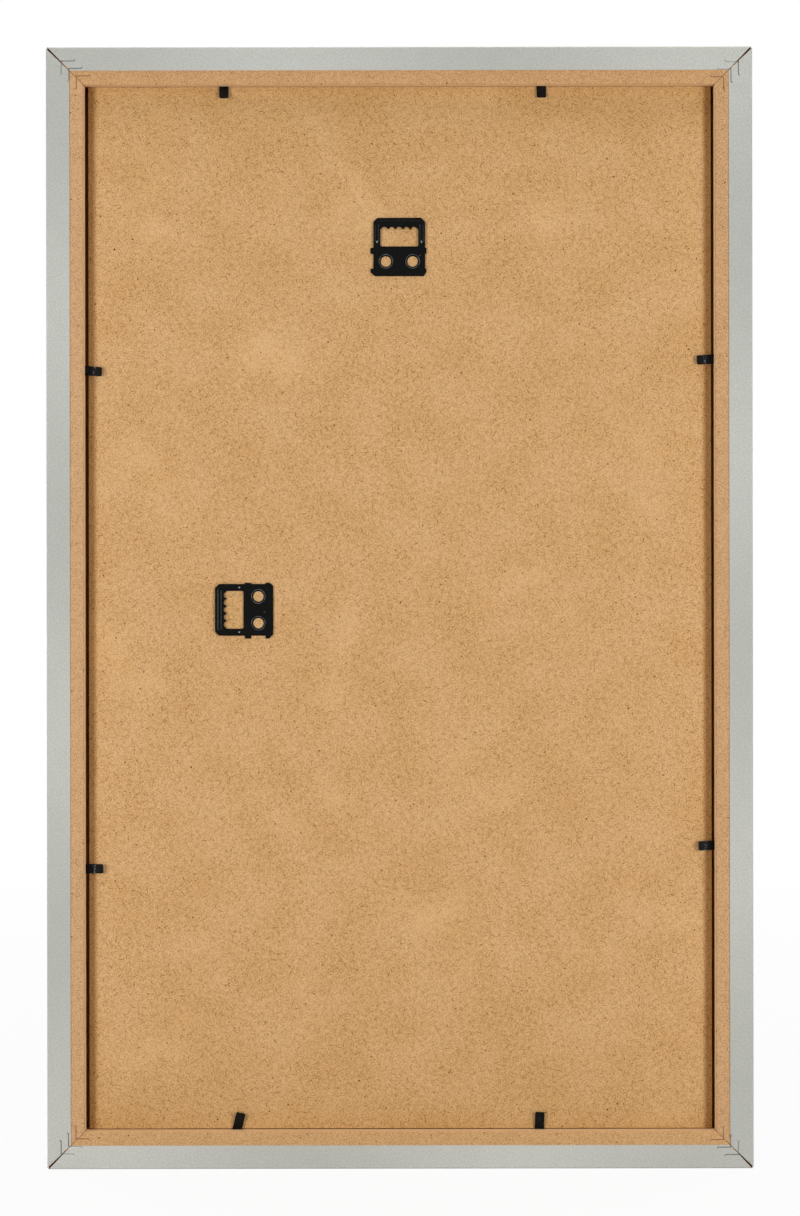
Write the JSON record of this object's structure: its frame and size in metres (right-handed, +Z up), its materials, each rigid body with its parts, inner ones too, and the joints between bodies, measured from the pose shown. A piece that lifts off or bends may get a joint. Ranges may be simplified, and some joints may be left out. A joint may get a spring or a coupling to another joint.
{
  "type": "picture frame",
  "caption": "Back-loading portrait picture frame: mitred foil-wrapped moulding, glazing, backing board held by bendable tabs, and saw-tooth hangers for upright or sideways hanging.",
  "frame": {"origin": "the nail's seat, at the top of the upper hanger's middle notch, in the plane of the frame's back", "axes": "+Z up in portrait hanging, +Y from the wall towards the room, +X to the right seen from behind"},
  "size_m": [0.3384, 0.016, 0.5376],
  "materials": {
    "rail_fibreboard": "raw milled fibreboard",
    "silver_foil": "satin silver-grey foil",
    "nail_steel": "dull steel",
    "hardboard": "raw hard fibreboard with fine fibres",
    "hanger_black": "black lacquered steel",
    "tab_black": "black satin spring steel",
    "clear_glass": "clear float glass",
    "blank_paper": "plain off-white paper"
  },
  "bodies": {
    "frame": {"rail_bottom": "rail_fibreboard", "rail_left": "rail_fibreboard", "rail_top": "rail_fibreboard", "rail_right": "rail_fibreboard", "foil_bottom": "silver_foil", "foil_left": "silver_foil", "foil_top": "silver_foil", "foil_right": "silver_foil", "corner_nails_bottom_left": "nail_steel", "corner_nails_top_left": "nail_steel", "corner_nails_top_right": "nail_steel", "corner_nails_bottom_right": "nail_steel", "glazing": "clear_glass", "picture_insert": "blank_paper", "backing_board": "hardboard", "hanger_portrait": "hanger_black", "hanger_landscape": "hanger_black", "tab_top_left_shank": "tab_black", "tab_top_right_shank": "tab_black", "tab_bottom_left_shank": "tab_black", "tab_bottom_right_shank": "tab_black", "tab_left_upper_shank": "tab_black", "tab_left_lower_shank": "tab_black", "tab_right_upper_shank": "tab_black", "tab_right_lower_shank": "tab_black"},
    "tab_top_left": {"tab_top_left_tongue": "tab_black"},
    "tab_top_right": {"tab_top_right_tongue": "tab_black"},
    "tab_bottom_left": {"tab_bottom_left_tongue": "tab_black"},
    "tab_bottom_right": {"tab_bottom_right_tongue": "tab_black"},
    "tab_left_upper": {"tab_left_upper_tongue": "tab_black"},
    "tab_left_lower": {"tab_left_lower_tongue": "tab_black"},
    "tab_right_upper": {"tab_right_upper_tongue": "tab_black"},
    "tab_right_lower": {"tab_right_lower_tongue": "tab_black"}
  },
  "joints": [
    {"name": "tab_top_left_bend", "type": "hinge", "parent": "frame", "child": "tab_top_left", "pos_m": [-0.08432, 0.00485, 0.06725], "axis": [-1, 0, 0], "range_deg": [-11, 79]},
    {"name": "tab_top_right_bend", "type": "hinge", "parent": "frame", "child": "tab_top_right", "pos_m": [0.06842, 0.00485, 0.06725], "axis": [-1, 0, 0], "range_deg": [-7, 83]},
    {"name": "tab_bottom_left_bend", "type": "hinge", "parent": "frame", "child": "tab_bottom_left", "pos_m": [-0.07854, 0.00485, -0.43365], "axis": [1, 0, 0], "range_deg": [-9, 81]},
    {"name": "tab_bottom_right_bend", "type": "hinge", "parent": "frame", "child": "tab_bottom_right", "pos_m": [0.06674, 0.00485, -0.43365], "axis": [1, 0, 0], "range_deg": [-7, 83]},
    {"name": "tab_left_upper_bend", "type": "hinge", "parent": "frame", "child": "tab_left_upper", "pos_m": [-0.1509, 0.00485, -0.06893], "axis": [0, 0, -1], "range_deg": [-7, 83]},
    {"name": "tab_left_lower_bend", "type": "hinge", "parent": "frame", "child": "tab_left_lower", "pos_m": [-0.1509, 0.00485, -0.3085], "axis": [0, 0, -1], "range_deg": [-8, 82]},
    {"name": "tab_right_upper_bend", "type": "hinge", "parent": "frame", "child": "tab_right_upper", "pos_m": [0.1509, 0.00485, -0.06378], "axis": [0, 0, 1], "range_deg": [-7, 83]},
    {"name": "tab_right_lower_bend", "type": "hinge", "parent": "frame", "child": "tab_right_lower", "pos_m": [0.1509, 0.00485, -0.29756], "axis": [0, 0, 1], "range_deg": [-11, 79]}
  ]
}
